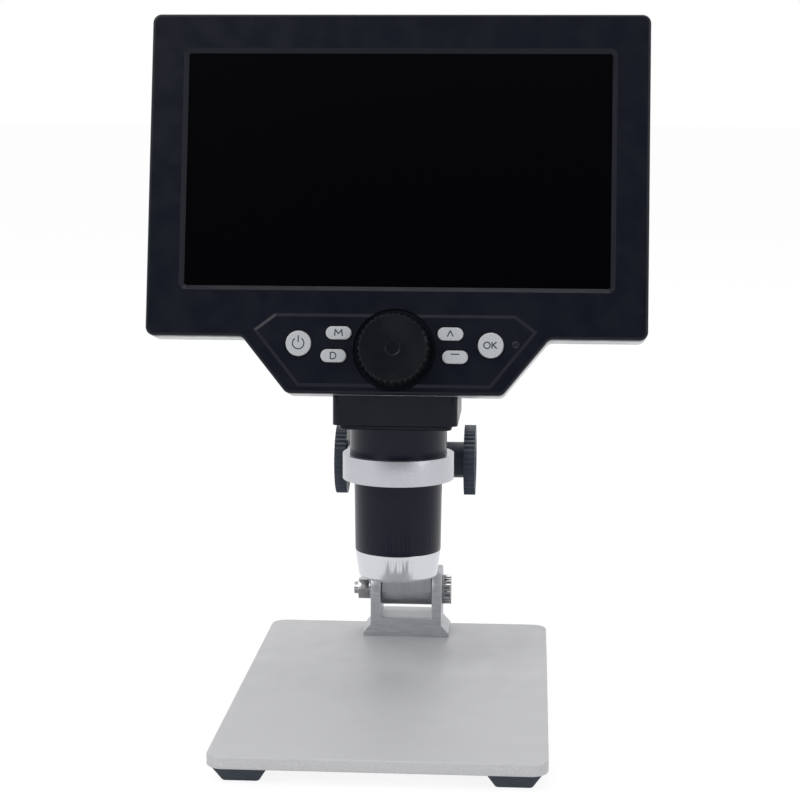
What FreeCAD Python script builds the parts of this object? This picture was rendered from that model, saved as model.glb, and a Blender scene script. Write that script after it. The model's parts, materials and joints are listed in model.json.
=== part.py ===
import FreeCAD, Part
import math
import os

# A desk microscope with its own screen. Lengths are in millimetres and angles in degrees.
# The origin is on the table, under the middle of the base plate. +X is the user's right,
# +Y is away from the user, +Z is up.

# Base plate and its four feet
plate_w = 115.0
plate_d = 182.0
plate_t = 4.5
plate_corner_r = 6.0
plate_edge_r = 0.8
foot_h = 5.5
foot_top_w = 19.0
foot_bottom_w = 12.5
foot_inset = 2.0
plate_top = foot_h + plate_t

# Column: a flat bar whose rounded lower end is the hinge knuckle
column_w = 20.4
column_d = 13.0
column_h = 162.0
cap_over = 1.5
cap_t = 3.0

# Hinge bracket: an extruded fork on the plate
bracket_len = 20.0
bracket_setback = 4.0
knuckle_side_play = 0.3
knuckle_drop_gap = 3.7
ear_t = 4.0
web_t = 7.6
flange_out = 3.0
flange_edge_t = 1.7
flange_slope_h = 3.3
ear_gap = column_w + 2 * knuckle_side_play
ear_outer = ear_gap + 2 * ear_t
hinge_y = plate_d / 2 - bracket_setback - bracket_len / 2
hinge_z = plate_top + web_t + knuckle_drop_gap + column_d / 2

# Hinge bolt, nut and washer
bolt_r = 2.5
bolt_play = 0.08
bolt_head_r = 6.0
bolt_head_t = 3.7
bolt_ridge_count = 24
washer_r = 4.6
washer_t = 1.0
nut_flats = 8.0
nut_t = 4.6
bolt_tail = 1.8

# Fasteners
thread_gap = 0.05
m4_r = 2.0
m3_r = 1.5
m2_r = 1.0
screw_head_h = 1.6
small_head_h = 0.9
small_head_gap = 0.1
hole_spare = 1.0
hole_cover = 1.0
cap_screw_len = 9.0
rack_screw_len = 6.0
arm_screw_len = 7.5
neck_screw_len = 4.0

# Rack and pinion of the height drive
rack_module = 0.8
pinion_teeth = 12
rack_pressure = 25.0
rack_backlash = 0.12
rack_w = 6.0
rack_t = 3.2
rack_land = 8.0
rack_margin = 7.0
pinion_w = 5.0
pinion_side_gap = 0.6
pinion_pass_gap = 0.4
pinion_shaft_r = 3.0
travel_up = 70.0
travel_down = 22.0
running_play = 0.06

# Tooth heights over and under the pitch line, for a module of one
tooth_tip = 0.8
tooth_root = 1.05

pinion_pitch_r = rack_module * pinion_teeth / 2
column_front = hinge_y - column_d / 2
column_back = hinge_y + column_d / 2
pinion_y = column_front + tooth_tip * rack_module - pinion_pitch_r
bush_r = pinion_pitch_r + tooth_tip * rack_module + pinion_pass_gap

# Carriage that slides on the column
carriage_w = 26.0
carriage_h = 40.0
carriage_front = 9.0
carriage_back_wall = 4.3
carriage_corner_r = 2.0
slide_play = 0.15
gib_t = 2.0
gib_w = 16.0
gib_h = 30.0
gib_screw_pitch = 16.0
gib_screw_sink = 0.5
knob_height = 74.0
knob_z = plate_top + knob_height
carriage_y0 = pinion_y - carriage_front
carriage_y1 = column_back + slide_play + gib_t + carriage_back_wall
carriage_z0 = knob_z - carriage_h / 2

# Hand knobs of the height drive
knob_r = 14.1
knob_t = 4.5
knob_span = 56.0
knob_hub_r = 7.2
knob_hub_gap = 0.4
knob_ridge_count = 44
knob_dish_rim = 4.0
knob_dish_depth = 1.0
grub_sink = 0.3
ridge_depth = 0.5

# Ring clamp that carries the barrel
lens_reach = 59.0
ring_height = 75.4
ring_h = 9.6
ring_wall = 2.7
ring_lip_t = 2.0
ring_lip_play = 0.35
arm_w = 14.0
arm_flange_w = 22.0
arm_flange_t = 4.0
arm_flange_drop = 17.0
arm_flange_rise = 6.8
arm_screw_edge = 3.5
clamp_screw_angle = 45.0
clamp_screw_play = 0.12
clamp_head_r = 4.0
clamp_head_t = 5.0
clamp_head_gap = 0.6
barrel_y = hinge_y - lens_reach
ring_z = plate_top + ring_height
ring_z1 = ring_z + ring_h

# Barrel
sleeve_r = 18.4
sleeve_wall = 1.65
sleeve_flange_out = 1.0
sleeve_flange_t = 2.0
barrel_fit = 0.05
tube_wall = 2.2
tube_taper = 0.4
tube_bottom_height = 48.0
sensor_seat_height = 98.0
nose_len = 10.5
nose_taper = 1.4
nose_edge_r = 1.5
nose_wall = 1.6
nose_spigot = 3.5
nose_lip = 2.0
nose_lip_in = 1.0
ring_bore_r = sleeve_r + running_play
ring_r = sleeve_r + ring_wall
sleeve_z0 = ring_z + ring_lip_t
tube_r = sleeve_r - sleeve_wall - barrel_fit
tube_end_r = tube_r - tube_taper
tube_bore_r = tube_r - tube_wall
tube_z0 = plate_top + tube_bottom_height
tube_z1 = plate_top + sensor_seat_height
nose_z0 = tube_z0 - nose_len
nose_bore_r = tube_bore_r - barrel_fit - nose_wall

# Ring light in the nose
light_hole_r = 5.5
light_window_t = 1.2
light_board_t = 1.2
light_board_gap = 3.0
light_foot_wall = 1.0
led_count = 8
led_size = 2.6
led_t = 1.2
window_z0 = nose_z0 + nose_lip
light_board_z0 = window_z0 + light_window_t + light_board_gap

# Neck block under the screen
neck_w = 46.2
neck_front = 21.0
neck_back = 22.0
neck_bottom_height = 96.4
neck_top_height = 145.0
neck_wall = 1.6
neck_corner_r = 2.2
neck_top_r = 2.0
neck_cover_t = 2.0
neck_cover_inset = 2.2
neck_cover_edge_r = 0.8
neck_screw_inset = 5.6
neck_screw_sink = 1.0
neck_boss_r = 2.3
neck_boss_h = 5.0
join_low_up = 7.0
join_high_up = 27.0
neck_z0 = plate_top + neck_bottom_height + neck_cover_t
neck_z1 = plate_top + neck_top_height
neck_y0 = barrel_y - neck_front
neck_y1 = barrel_y + neck_back
sleeve_z1 = neck_z0 + sleeve_flange_t

# Screen housing. It leans back, and its own frame has x across, depth into the housing
# from the bezel's front face, and up along that face from its lowest edge.
screen_lean = 12.0
screen_setoff = 28.0
screen_bottom_height = 111.2
case_w = 184.0
case_h = 140.5
case_shoulder = 20.7
chin_top_w = 112.6
chin_bottom_w = 79.0
case_corner_r = 3.2
chin_corner_r = 3.0
bezel_depth = 5.0
shell_depth = 14.5
case_wall = 2.0
bezel_edge_r = 1.2
shell_edge_r = 3.0
case_screw_inset = 5.6
case_screw_mid = 30.0
case_post_r = 3.0
case_post_meet = 3.0
case_depth = bezel_depth + shell_depth
screen_y = barrel_y - screen_setoff
screen_z = plate_top + screen_bottom_height

# Window and display
window_side = 13.8
window_top = 14.5
window_rise = 39.5
window_corner_r = 1.0
window_bevel = 1.7
window_bevel_depth = 1.6
glass_overlap = 2.5
glass_t = 1.1
lcd_lap = 4.3
lcd_t = 5.2
lcd_frame_t = 0.8
lcd_frame_lip = 12.0
window_w = case_w - 2 * window_side
window_h = case_h - window_rise - window_top
window_mid = window_rise + window_h / 2
lcd_w = window_w + 2 * lcd_lap
lcd_h = window_h + 2 * lcd_lap
lcd_depth = case_wall + glass_t

# Raised control field on the chin
relief_t = 0.6
relief_side_margin = 6.3
relief_corner_cut = 8.0
relief_top = 29.3
relief_shoulder = 23.2
relief_bottom = 2.5
relief_slope = 1.2

# Buttons and the indicator, each given as its middle across and up the face
button_r = 4.65
pill_w = 9.4
pill_h = 4.8
button_proud = 1.0
button_gap = 0.35
button_edge_r = 0.5
button_travel = 0.5
button_flange = 0.8
button_flange_t = 0.8
button_flange_gap = 0.3
round_button_x = 35.1
round_button_up = 18.2
upper_pill_x = 20.4
upper_pill_up = 22.2
lower_pill_x = 22.2
lower_pill_up = 13.8
indicator_x = 44.1
indicator_up = 18.6
indicator_r = 1.3
indicator_proud = 0.1
button_back = case_wall + button_flange_gap + button_flange_t

# Key board behind the chin
key_board_depth = 7.0
key_board_t = 1.2
key_board_w = 100.0
key_board_low_w = 76.0
key_board_top = 30.0
key_board_knee = 19.0
key_board_bottom = 4.5
key_board_hole_gap = 1.5
key_switch_w = 4.5
key_switch_gap = 0.1
key_post_r = 2.4
key_post_low_x = 33.5
key_post_low_up = 7.5
key_post_high_x = 40.0
key_post_high_up = 27.0

# Focus wheel
wheel_up = 16.2
wheel_r = 14.1
wheel_face_r = 12.45
wheel_h = 11.0
wheel_recess_gap = 1.0
wheel_recess_depth = 1.6
wheel_floor_gap = 0.3
wheel_ridge_count = 36
wheel_dimple_r = 2.6
wheel_dimple_depth = 0.6
wheel_web = 3.0
wheel_floor = wheel_recess_depth - relief_t
wheel_base = wheel_floor - wheel_floor_gap
wheel_front = wheel_base - wheel_h

# Focus drive: the wheel's shaft has a pinion that lifts the lens carrier by its rack arm
focus_shaft_r = 2.0
focus_shaft_tail = 1.0
focus_module = 0.5
focus_teeth = 16
focus_pressure = 20.0
focus_backlash = 0.1
focus_pinion_w = 3.0
focus_turn = 85.0
focus_bush_wall = 2.4
focus_bush_out = 2.0
focus_pitch_r = focus_module * focus_teeth / 2
focus_bush_r = focus_shaft_r + focus_bush_wall

# Lens carrier in the barrel
carrier_r = 11.5
carrier_wall = 2.0
carrier_top_t = 2.0
carrier_h = 22.0
carrier_rest_height = 60.0
carrier_land_h = 3.0
carrier_land_play = 0.1
carrier_hole_r = 4.0
carrier_arm_t = 2.6
carrier_arm_w = 5.0
carrier_arm_back = 5.0
carrier_arm_gap = 0.05
carrier_rack_margin = 3.0
lens_edge_t = 3.0
lens_bulge = 1.2
front_lens_rise = 3.0
rear_lens_rise = 12.0
carrier_z0 = plate_top + carrier_rest_height
carrier_z1 = carrier_z0 + carrier_h

# Image sensor board
sensor_board_t = 1.6
sensor_chip_w = 7.0
sensor_chip_t = 1.4
sensor_slot_play = 0.6

# Boards, battery and sockets in the housing
board_t = 1.6
board_side = 14.0
board_top = 18.3
board_gap = 4.0
board_rise = 23.5
board_stand = 3.0
board_post_r = 2.6
board_post_inset = 5.0
chip_margin = 12.0
chip_w = 16.0
chip_t = 1.2
shield_w = 18.0
shield_h = 14.0
shield_t = 1.8
cable_socket_w = 20.0
cable_socket_h = 4.0
coil_w = 4.0
coil_count = 3
coil_pitch = 6.0
battery_w = 68.0
battery_h = 58.0
battery_t = 5.6
battery_side = 16.0
battery_rise = 33.5
battery_gap = 0.2
battery_edge_r = 2.5
post_sink = 0.5
socket_play = 0.2
socket_recess = 0.3
socket_wall = 0.5
socket_stop = 1.5
usb_w = 8.0
usb_t = 3.2
usb_len = 5.5
usb_rise = 75.3
card_w = 13.0
card_t = 2.4
card_len = 14.0
card_rise = 51.3
port_board_w = 9.0
port_board_foot = 3.0
cable_slot_w = 16.0
cable_slot_h = 5.0
cable_slot_drop = 8.5

V = FreeCAD.Vector
UP = V(0, 0, 1)
ACROSS = V(1, 0, 0)
BACK = V(0, 1, 0)
HERE = V(0, 0, 0)


def box(x, y, z):
    """A block given by its two ends along each axis."""
    return Part.makeBox(x[1] - x[0], y[1] - y[0], z[1] - z[0], V(x[0], y[0], z[0]))


def rod(radius, start, end):
    """A round bar between two points."""
    run = end.sub(start)
    return Part.makeCylinder(radius, run.Length, start, run)


def taper(start_r, end_r, start, end):
    """A round bar that changes evenly from one radius to the other."""
    run = end.sub(start)
    return Part.makeCone(start_r, end_r, run.Length, start, run)


def on_barrel(z):
    """A point on the barrel's axis."""
    return V(0, barrel_y, z)


def barrel_ring(outer, inner, z0, z1):
    """A plain ring about the barrel's axis."""
    return rod(outer, on_barrel(z0), on_barrel(z1)).cut(rod(inner, on_barrel(z0), on_barrel(z1)))


def slab(points, start, run):
    """A flat outline swept along a direction."""
    closed = [p.add(start) for p in points + points[:1]]
    return Part.Face(Part.makePolygon(closed)).extrude(run)


def parallel(edge, direction):
    """Says whether a straight edge runs along a direction."""
    if edge.Curve.TypeId != "Part::GeomLine":
        return False
    return abs(abs(edge.tangentAt(edge.FirstParameter).dot(direction)) - 1) < 1e-6


def round_edges(shape, radius, direction, wanted=None):
    """Rounds the edges that run along a direction, or only those that are wanted."""
    edges = [e for e in shape.Edges if parallel(e, direction)]
    if wanted:
        edges = [e for e in edges if wanted(e.CenterOfMass)]
    return shape.makeFillet(radius, edges)


def round_face_edges(shape, radius, position, axis):
    """Rounds the edges that lie wholly at one position along an axis."""
    def there(edge):
        return all(abs(v.Point.dot(axis) - position) < 1e-4 for v in edge.Vertexes)
    return shape.makeFillet(radius, [e for e in shape.Edges if there(e)])


def ridged_outline(radius, depth, ridges):
    """A closed ridged circle in the XY plane, as its points."""
    points = []
    for i in range(2 * ridges):
        angle = math.pi * i / ridges
        r = radius - depth * (i % 2)
        points.append(V(r * math.cos(angle), r * math.sin(angle), 0))
    return points


def screw(radius, head_r, head_h, length, seat, inward):
    """A round-headed screw: its head sits on the seat and its shank runs inward."""
    head = rod(head_r, seat, seat.sub(inward * head_h))
    return head.fuse(rod(radius, seat, seat.add(inward * length)))


def gear_outline(module, teeth, pressure, backlash):
    """An involute gear in the XY plane, with one tooth's middle on +X, as its points."""
    pitch_r = module * teeth / 2
    angle = math.radians(pressure)
    base_r = pitch_r * math.cos(angle)
    root_r = pitch_r - tooth_root * module
    tip_r = pitch_r + tooth_tip * module
    steps = 4

    def half_width(r):
        roll = math.acos(base_r / r)
        there = math.tan(roll) - roll
        at_pitch = math.tan(angle) - angle
        return math.pi / (2 * teeth) - backlash / (2 * pitch_r) + at_pitch - there

    start_r = max(base_r, root_r)
    flank = [start_r + (tip_r - start_r) * i / steps for i in range(steps + 1)]
    side = [(r, half_width(r)) for r in flank]
    if root_r < base_r:
        side.insert(0, (root_r, half_width(base_r)))
    points = []
    for tooth in range(teeth):
        middle = 2 * math.pi * tooth / teeth
        turns = [(r, middle - w) for r, w in side] + [(r, middle + w) for r, w in reversed(side)]
        points += [V(r * math.cos(a), r * math.sin(a), 0) for r, a in turns]
    return points


def rack_outline(module, pressure, backlash, low, high, space_at):
    """Rack teeth as (height over the pitch line, place along the rack), low to high.

    The space between two teeth has its middle at space_at."""
    pitch = math.pi * module
    slope = math.tan(math.radians(pressure))
    half = pitch / 4 - backlash / 2
    tip = tooth_tip * module
    root = tooth_root * module
    first = math.ceil((low - space_at) / pitch)
    last = math.floor((high - space_at) / pitch)
    points = []
    for i in range(first, last):
        middle = space_at + (i + 0.5) * pitch
        points.append((-root, middle - half - root * slope))
        points.append((tip, middle - half + tip * slope))
        points.append((tip, middle + half - tip * slope))
        points.append((-root, middle + half + root * slope))
    return points


def lean(shape):
    """Takes a shape from the housing's own frame to its place on the microscope."""
    moved = shape.copy()
    moved.rotate(HERE, ACROSS, -screen_lean)
    moved.translate(V(0, screen_y, screen_z))
    return moved


def lean_point(x, depth, up):
    """The place of a point that is given in the housing's own frame."""
    a = math.radians(screen_lean)
    y = depth * math.cos(a) + up * math.sin(a)
    z = up * math.cos(a) - depth * math.sin(a)
    return V(x, screen_y + y, screen_z + z)


def turned_outline(outline, thick, middle):
    """An outline of the XY plane swept to a disc that stands square to X."""
    disc = slab(outline, HERE, UP * thick)
    disc.rotate(HERE, BACK, 90)
    disc.translate(middle)
    return disc


# The base: plate, feet, hinge bracket, bolt

def make_rubber_feet():
    x = plate_w / 2 - foot_inset - foot_top_w / 2
    y = plate_d / 2 - foot_inset - foot_top_w / 2

    def square(middle, width, z):
        w = width / 2
        corners = [V(-w, -w, z), V(w, -w, z), V(w, w, z), V(-w, w, z), V(-w, -w, z)]
        return Part.makePolygon([c.add(middle) for c in corners])

    feet = []
    for middle in [V(sx * x, sy * y, 0) for sx in (-1, 1) for sy in (-1, 1)]:
        bottom = square(middle, foot_bottom_w, 0)
        top = square(middle, foot_top_w, foot_h)
        feet.append(Part.makeLoft([bottom, top], True, True))
    return Part.makeCompound(feet)


def bracket_screw_seats():
    """Where the two bracket screws stand under the plate."""
    offset = bracket_len / 4
    return [V(0, hinge_y - offset, foot_h), V(0, hinge_y + offset, foot_h)]


def make_base_plate():
    half_w = plate_w / 2
    half_d = plate_d / 2
    plate = box((-half_w, half_w), (-half_d, half_d), (foot_h, plate_top))
    plate = round_edges(plate, plate_corner_r, UP)
    plate = round_face_edges(plate, plate_edge_r, plate_top, UP)
    for seat in bracket_screw_seats():
        plate = plate.cut(rod(m4_r + thread_gap, seat, seat.add(UP * plate_t)))
        sink = taper(2 * m4_r + thread_gap, m4_r + thread_gap, seat, seat.add(UP * m4_r))
        plate = plate.cut(sink)
    return plate


def make_hinge_bracket():
    edge = plate_top + flange_edge_t
    knee = edge + flange_slope_h
    floor = plate_top + web_t
    top = hinge_z + bracket_len / 2
    outer = ear_outer / 2
    inner = ear_gap / 2
    foot = outer + flange_out
    right = [(foot, plate_top), (foot, edge), (outer, knee), (outer, top), (inner, top), (inner, floor)]
    left = [(-x, z) for x, z in reversed(right)]
    outline = [V(x, 0, z) for x, z in right + left]
    body = slab(outline, V(0, hinge_y - bracket_len / 2, 0), BACK * bracket_len)
    dome = rod(bracket_len / 2, V(-foot, hinge_y, hinge_z), V(foot, hinge_y, hinge_z))
    below = box((-foot, foot), (hinge_y - bracket_len, hinge_y + bracket_len), (0, hinge_z))
    body = body.common(dome.fuse(below))
    body = body.cut(rod(bolt_r + bolt_play, V(-foot, hinge_y, hinge_z), V(foot, hinge_y, hinge_z)))
    for seat in bracket_screw_seats():
        depth = plate_t + web_t - hole_cover
        body = body.cut(rod(m4_r + thread_gap, seat, seat.add(UP * depth)))
    return body


def make_bracket_screws():
    screws = []
    for seat in bracket_screw_seats():
        length = plate_t + web_t - hole_cover - hole_spare
        head = taper(2 * m4_r, m4_r, seat, seat.add(UP * m4_r))
        screws.append(head.fuse(rod(m4_r, seat, seat.add(UP * length))))
    return Part.makeCompound(screws)


def make_hinge_bolt():
    head_x = ear_outer / 2
    tail_x = -ear_outer / 2 - washer_t - nut_t - bolt_tail
    shank = rod(bolt_r, V(tail_x, hinge_y, hinge_z), V(head_x, hinge_y, hinge_z))
    outline = ridged_outline(bolt_head_r, ridge_depth, bolt_ridge_count)
    return shank.fuse(turned_outline(outline, bolt_head_t, V(head_x, hinge_y, hinge_z)))


def make_hinge_washer():
    end = V(-ear_outer / 2, hinge_y, hinge_z)
    start = end.sub(ACROSS * washer_t)
    return rod(washer_r, start, end).cut(rod(bolt_r + bolt_play, start, end))


def make_hinge_nut():
    start = V(-ear_outer / 2 - washer_t - nut_t, hinge_y, hinge_z)
    corner = nut_flats / math.sqrt(3)
    angles = [math.pi * i / 3 for i in range(6)]
    outline = [V(0, corner * math.cos(a), corner * math.sin(a)) for a in angles]
    nut = slab(outline, start, ACROSS * nut_t)
    return nut.cut(rod(bolt_r + thread_gap, start, start.add(ACROSS * nut_t)))


# The column: bar, rack, end cap

rack_z0 = knob_z - travel_down - rack_margin - rack_land
rack_z1 = knob_z + travel_up + rack_margin + rack_land
column_top = hinge_z + column_h
cap_top = column_top + cap_t


def rack_screw_seats():
    """The two screws that hold the rack by its plain ends stand here on its front."""
    return [V(0, column_front, z) for z in (rack_z0 + rack_land / 2, rack_z1 - rack_land / 2)]


def make_column_post():
    half = column_w / 2
    bar = box((-half, half), (column_front, column_back), (hinge_z, column_top))
    knuckle = rod(column_d / 2, V(-half, hinge_y, hinge_z), V(half, hinge_y, hinge_z))
    post = bar.fuse(knuckle).removeSplitter()
    post = post.cut(rod(bolt_r + bolt_play, V(-half, hinge_y, hinge_z), V(half, hinge_y, hinge_z)))
    groove = rack_w / 2 + thread_gap
    post = post.cut(box((-groove, groove), (column_front, column_front + rack_t), (rack_z0, rack_z1)))
    for seat in rack_screw_seats():
        depth = m2_r + rack_screw_len + hole_spare
        post = post.cut(rod(m2_r + thread_gap, seat, seat.add(BACK * depth)))
    mouth = V(0, hinge_y, column_top)
    depth = cap_screw_len + hole_spare
    return post.cut(rod(m3_r + thread_gap, mouth.sub(UP * depth), mouth))


def make_column_rack():
    pitch_y = column_front + tooth_tip * rack_module
    root_y = pitch_y + tooth_root * rack_module
    back_y = column_front + rack_t
    low = rack_z0 + rack_land
    high = rack_z1 - rack_land
    teeth = rack_outline(rack_module, rack_pressure, rack_backlash, low, high, knob_z)
    outline = [(back_y, rack_z0), (column_front, rack_z0), (column_front, low), (root_y, low)]
    outline += [(pitch_y - h, z) for h, z in teeth]
    outline += [(root_y, high), (column_front, high), (column_front, rack_z1), (back_y, rack_z1)]
    rack = slab([V(0, y, z) for y, z in outline], V(-rack_w / 2, 0, 0), ACROSS * rack_w)
    for seat in rack_screw_seats():
        rack = rack.cut(rod(m2_r + thread_gap, seat, seat.add(BACK * rack_t)))
        rack = rack.cut(rod(2 * m2_r, seat, seat.add(BACK * m2_r)))
    return rack


def make_rack_screws():
    screws = []
    for seat in rack_screw_seats():
        sunk = seat.add(BACK * m2_r)
        screws.append(screw(m2_r, 2 * m2_r - thread_gap, m2_r, rack_screw_len, sunk, BACK))
    return Part.makeCompound(screws)


def make_column_cap():
    half = column_w / 2 + cap_over
    y = (column_front - cap_over, column_back + cap_over)
    cap = round_edges(box((-half, half), y, (column_top, cap_top)), cap_over, UP)
    return cap.cut(rod(m3_r + thread_gap, V(0, hinge_y, column_top), V(0, hinge_y, cap_top)))


def make_cap_screw():
    return screw(m3_r, 2 * m3_r, screw_head_h, cap_t + cap_screw_len, V(0, hinge_y, cap_top), UP * -1)


# The carriage and the drive knobs

gib_y0 = column_back + slide_play
bush_x0 = column_w / 2 + 2 * slide_play
flange_z0 = ring_z - arm_flange_drop
flange_z1 = ring_z1 + arm_flange_rise


def gib_screw_lines():
    """The start and end of each hole that a gib screw turns in."""
    heights = [knob_z - gib_screw_pitch / 2, knob_z + gib_screw_pitch / 2]
    return [(V(0, gib_y0 + gib_t, z), V(0, carriage_y1, z)) for z in heights]


def arm_screw_seats():
    """Where the four arm screws stand on the front of the arm's flange."""
    x = arm_flange_w / 2 - arm_screw_edge
    y = carriage_y0 - arm_flange_t
    heights = (flange_z0 + arm_screw_edge, flange_z1 - arm_screw_edge)
    return [V(sx * x, y, z) for sx in (-1, 1) for z in heights]


def make_carriage_block():
    half = carriage_w / 2
    z = (carriage_z0, carriage_z0 + carriage_h)
    block = round_edges(box((-half, half), (carriage_y0, carriage_y1), z), carriage_corner_r, UP)
    way = column_w / 2 + slide_play
    block = block.cut(box((-way, way), (column_front - slide_play, gib_y0), z))
    gib_half = gib_w / 2 + thread_gap
    gib_z = (knob_z - gib_h / 2 - thread_gap, knob_z + gib_h / 2 + thread_gap)
    block = block.cut(box((-gib_half, gib_half), (gib_y0 - slide_play, gib_y0 + gib_t), gib_z))
    left = V(-half, pinion_y, knob_z)
    right = V(half, pinion_y, knob_z)
    block = block.cut(rod(pinion_shaft_r + running_play, left, right))
    inner = V(-pinion_w / 2 - pinion_side_gap, pinion_y, knob_z)
    block = block.cut(rod(bush_r + thread_gap, inner, right))
    for start, end in gib_screw_lines():
        block = block.cut(rod(m3_r + thread_gap, start, end))
    for seat in arm_screw_seats():
        depth = arm_flange_t + arm_screw_len + hole_spare
        block = block.cut(rod(m3_r + thread_gap, seat, seat.add(BACK * depth)))
    return block


def make_carriage_gib():
    y = (gib_y0, gib_y0 + gib_t)
    return box((-gib_w / 2, gib_w / 2), y, (knob_z - gib_h / 2, knob_z + gib_h / 2))


def make_gib_screws():
    lines = [(start, end.sub(BACK * gib_screw_sink)) for start, end in gib_screw_lines()]
    return Part.makeCompound([rod(m3_r, start, end) for start, end in lines])


def make_pinion_bush():
    start = V(bush_x0, pinion_y, knob_z)
    end = V(carriage_w / 2, pinion_y, knob_z)
    return rod(bush_r, start, end).cut(rod(pinion_shaft_r + running_play, start, end))


def make_pinion_shaft():
    reach = knob_span / 2 - knob_dish_depth
    shaft = rod(pinion_shaft_r, V(-reach, pinion_y, knob_z), V(reach, pinion_y, knob_z))
    outline = gear_outline(rack_module, pinion_teeth, rack_pressure, rack_backlash)
    outline = [V(p.y, p.x, 0) for p in outline]
    return shaft.fuse(turned_outline(outline, pinion_w, V(-pinion_w / 2, pinion_y, knob_z)))


def place_knob_piece(shape, side):
    """Takes a piece drawn about +Z to the left (-1) or the right (1) end of the drive shaft."""
    shape.rotate(HERE, BACK, 90 * side)
    shape.translate(V(0, pinion_y, knob_z))
    return shape


def knob_grub(gap, sink):
    """The radial screw that grips the shaft, or its hole, in the knob's own frame."""
    along = (carriage_w / 2 + knob_hub_gap + knob_span / 2 - knob_t) / 2
    return rod(m3_r + gap, V(0, pinion_shaft_r + thread_gap, along), V(0, knob_hub_r - sink, along))


def make_hand_knob(side):
    inner = knob_span / 2 - knob_t
    outer = knob_span / 2
    disc = slab(ridged_outline(knob_r, ridge_depth, knob_ridge_count), V(0, 0, inner), UP * knob_t)
    hub = rod(knob_hub_r, V(0, 0, carriage_w / 2 + knob_hub_gap), V(0, 0, inner))
    dish_r = knob_r - knob_dish_rim
    dish = taper(dish_r - knob_dish_depth, dish_r, V(0, 0, outer - knob_dish_depth), V(0, 0, outer))
    bore = rod(pinion_shaft_r + thread_gap, HERE, V(0, 0, outer))
    knob = disc.fuse(hub).cut(dish).cut(bore).cut(knob_grub(thread_gap, 0))
    return place_knob_piece(knob, side)


def make_knob_screws():
    return Part.makeCompound([place_knob_piece(knob_grub(0, grub_sink), side) for side in (-1, 1)])


# The ring clamp and its screws

def clamp_screw_line(start_r, end_r):
    """Two points on the clamp screw's line, by their distance from the barrel's axis."""
    a = math.radians(90 + clamp_screw_angle)
    way = V(math.cos(a), math.sin(a), 0)
    middle = on_barrel((sleeve_z0 + ring_z1) / 2)
    return middle.add(way * start_r), middle.add(way * end_r)


def make_ring_clamp():
    ring = rod(ring_r, on_barrel(ring_z), on_barrel(ring_z1))
    arm = box((-arm_w / 2, arm_w / 2), (barrel_y + ring_r / 2, carriage_y0), (ring_z, ring_z1))
    flange_x = (-arm_flange_w / 2, arm_flange_w / 2)
    flange = box(flange_x, (carriage_y0 - arm_flange_t, carriage_y0), (flange_z0, flange_z1))
    clamp = ring.fuse(arm).fuse(flange).removeSplitter()
    clamp = clamp.cut(rod(ring_bore_r, on_barrel(sleeve_z0), on_barrel(ring_z1)))
    clamp = clamp.cut(rod(tube_r + ring_lip_play, on_barrel(ring_z), on_barrel(ring_z1)))
    start, end = clamp_screw_line(sleeve_r, ring_r + ring_wall)
    clamp = clamp.cut(rod(m4_r + thread_gap, start, end))
    for seat in arm_screw_seats():
        clamp = clamp.cut(rod(m3_r + thread_gap, seat, seat.add(BACK * arm_flange_t)))
    return clamp


def make_arm_screws():
    length = arm_flange_t + arm_screw_len
    return Part.makeCompound(
        [screw(m3_r, 2 * m3_r, screw_head_h, length, seat, BACK) for seat in arm_screw_seats()])


def make_clamp_screw():
    seat_r = ring_r + clamp_head_gap
    tip, seat = clamp_screw_line(sleeve_r + clamp_screw_play, seat_r)
    head_end = clamp_screw_line(0, seat_r + clamp_head_t)[1]
    return rod(m4_r, tip, seat).fuse(rod(clamp_head_r, seat, head_end))


# The barrel and its ring light

def make_barrel_sleeve():
    bore_r = sleeve_r - sleeve_wall
    sleeve = barrel_ring(sleeve_r, bore_r, sleeve_z0, sleeve_z1)
    return sleeve.fuse(barrel_ring(sleeve_r + sleeve_flange_out, bore_r, neck_z0, sleeve_z1))


def make_lower_tube():
    low = taper(tube_end_r, tube_r, on_barrel(tube_z0), on_barrel(sleeve_z0))
    body = low.fuse(rod(tube_r, on_barrel(sleeve_z0), on_barrel(tube_z1)))
    return body.cut(rod(tube_bore_r, on_barrel(tube_z0), on_barrel(tube_z1)))


def make_nose_cone():
    top = on_barrel(tube_z0 + nose_spigot)
    cone = taper(tube_end_r - nose_taper, tube_end_r, on_barrel(nose_z0), on_barrel(tube_z0))
    cone = round_face_edges(cone, nose_edge_r, nose_z0, UP)
    cone = cone.fuse(rod(tube_bore_r - barrel_fit, on_barrel(tube_z0), top))
    cone = cone.cut(rod(nose_bore_r, on_barrel(window_z0), top))
    return cone.cut(rod(nose_bore_r - nose_lip_in, on_barrel(nose_z0), on_barrel(window_z0)))


def make_light_window():
    return barrel_ring(nose_bore_r - barrel_fit, light_hole_r, window_z0, window_z0 + light_window_t)


def make_light_board():
    outer = nose_bore_r - barrel_fit
    board = barrel_ring(outer, light_hole_r, light_board_z0, light_board_z0 + light_board_t)
    foot = barrel_ring(outer, outer - light_foot_wall, window_z0 + light_window_t, light_board_z0)
    return board.fuse(foot)


def make_light_leds():
    orbit = (nose_bore_r - barrel_fit - light_foot_wall + light_hole_r) / 2
    half = led_size / 2
    leds = []
    for i in range(led_count):
        led = box((orbit - half, orbit + half), (-half, half), (light_board_z0 - led_t, light_board_z0))
        led.rotate(HERE, UP, 360 * i / led_count)
        led.translate(on_barrel(0))
        leds.append(led)
    return Part.makeCompound(leds)


# The lens carrier with its rack arm, and the sensor above it

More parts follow.
